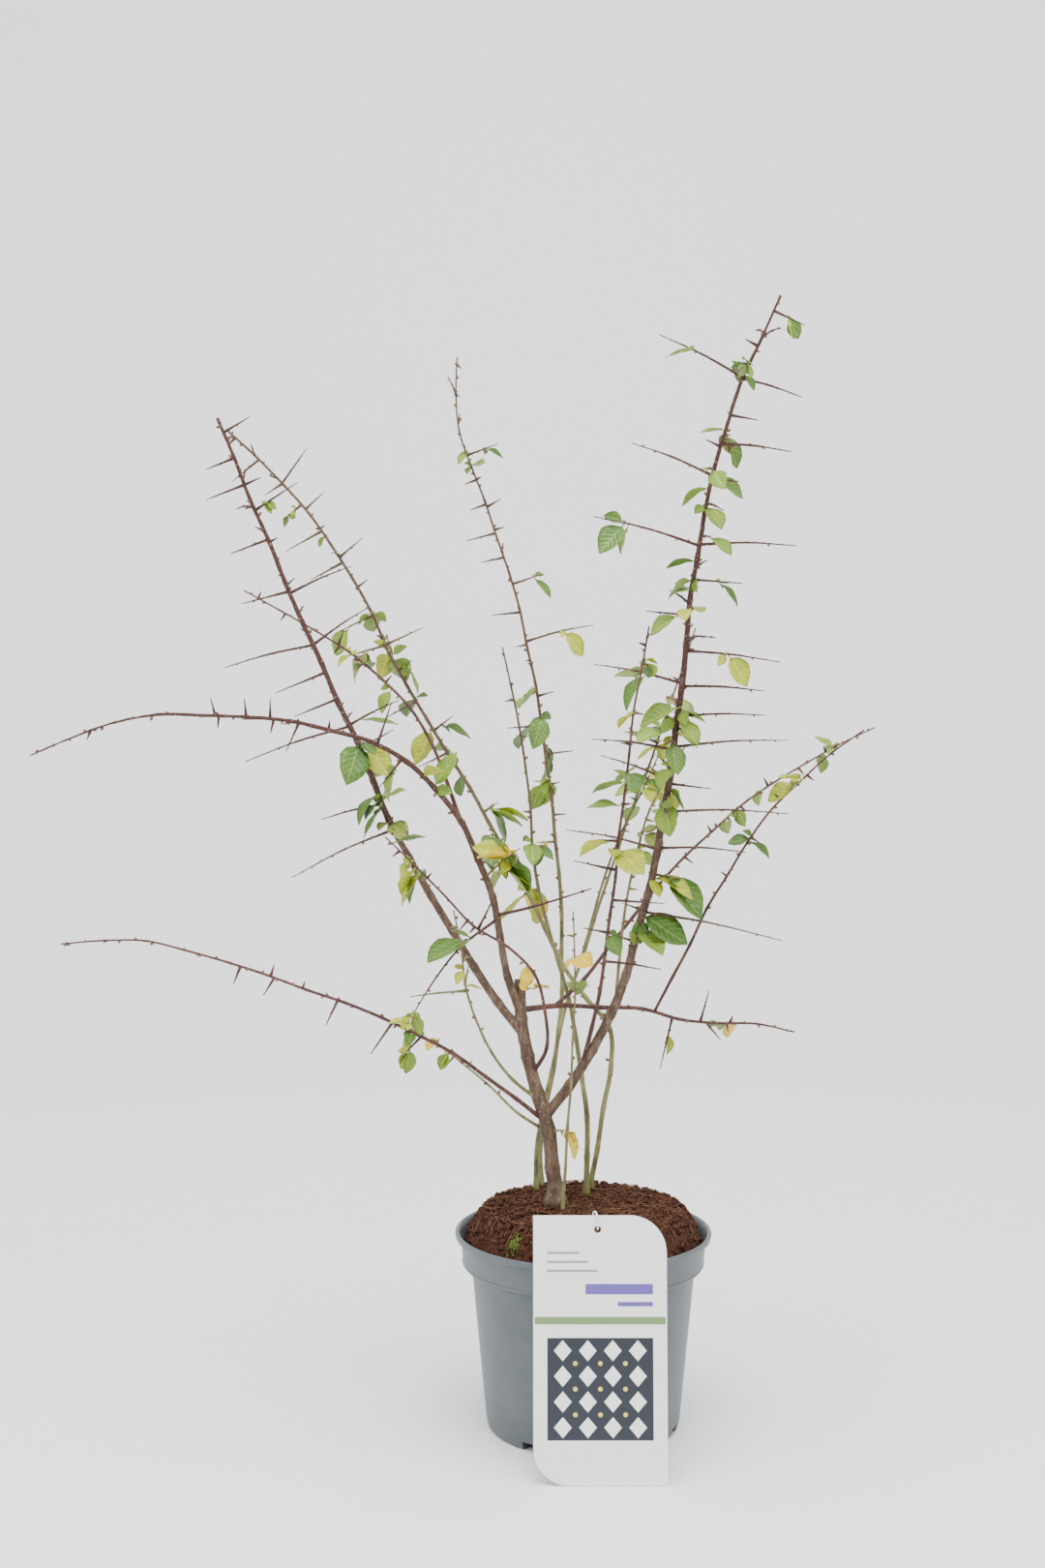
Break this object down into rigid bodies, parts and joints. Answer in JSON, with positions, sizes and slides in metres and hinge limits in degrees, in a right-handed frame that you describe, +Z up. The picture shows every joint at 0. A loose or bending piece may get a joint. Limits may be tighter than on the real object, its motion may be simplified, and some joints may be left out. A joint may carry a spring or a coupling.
{
  "type": "potted blackthorn bush",
  "caption": "Young thorny blackthorn shrub with upright canes, long spurs and sparse autumn leaves, in a round nursery pot with a hanging label.",
  "frame": {"origin": "middle of the flat pad under the pot, at the height it stands on", "axes": "+Z up, -Y towards the side with the label, +X to the right of that side"},
  "size_m": [0.5944, 0.2901, 0.7994],
  "materials": {
    "foliage": "matt leaves on thorny twigs",
    "old_bark": "rough brown bark",
    "green_bark": "smooth green-brown bark",
    "red_bark": "smooth dark reddish bark",
    "label": "smooth white plastic card",
    "label_tie": "smooth white plastic loop",
    "pot": "satin grey plastic, slightly blue",
    "soil": "moist brown compost"
  },
  "bodies": {
    "root": {"arch_sprig_crown": "foliage", "arching_bough": "old_bark", "arching_crown": "foliage", "back_cane": "green_bark", "back_cane_foot": "green_bark", "back_crown": "foliage", "cross_bough": "red_bark", "cross_crown": "foliage", "drooping_crown": "foliage", "drooping_twig": "red_bark", "fork_sprig_crown": "foliage", "green_cane": "green_bark", "green_crown": "foliage", "green_twig": "green_bark", "green_twig_crown": "foliage", "hooked_crown": "foliage", "hooked_twig": "green_bark", "inner_crown": "foliage", "inner_shoot": "red_bark", "label": "label", "label_tie": "label_tie", "leader": "old_bark", "leader_sprig_crown": "foliage", "left_bough": "old_bark", "left_crown": "foliage", "level_bough": "red_bark", "level_crown": "foliage", "low_bough": "green_bark", "low_crown": "foliage", "low_twig": "green_bark", "low_twig_crown": "foliage", "middle_cane": "green_bark", "middle_crown": "foliage", "outer_crown": "foliage", "outer_shoot": "green_bark", "pot": "pot", "reaching_twig": "red_bark", "right_bough": "old_bark", "right_crown": "foliage", "rising_bough": "red_bark", "rising_crown": "foliage", "side_bough": "red_bark", "side_crown": "foliage", "slim_cane": "green_bark", "slim_crown": "foliage", "soil": "soil", "sucker": "green_bark", "sucker_crown": "foliage", "trunk": "old_bark", "twin_cane": "green_bark", "twin_crown": "foliage"}
  },
  "joints": []
}
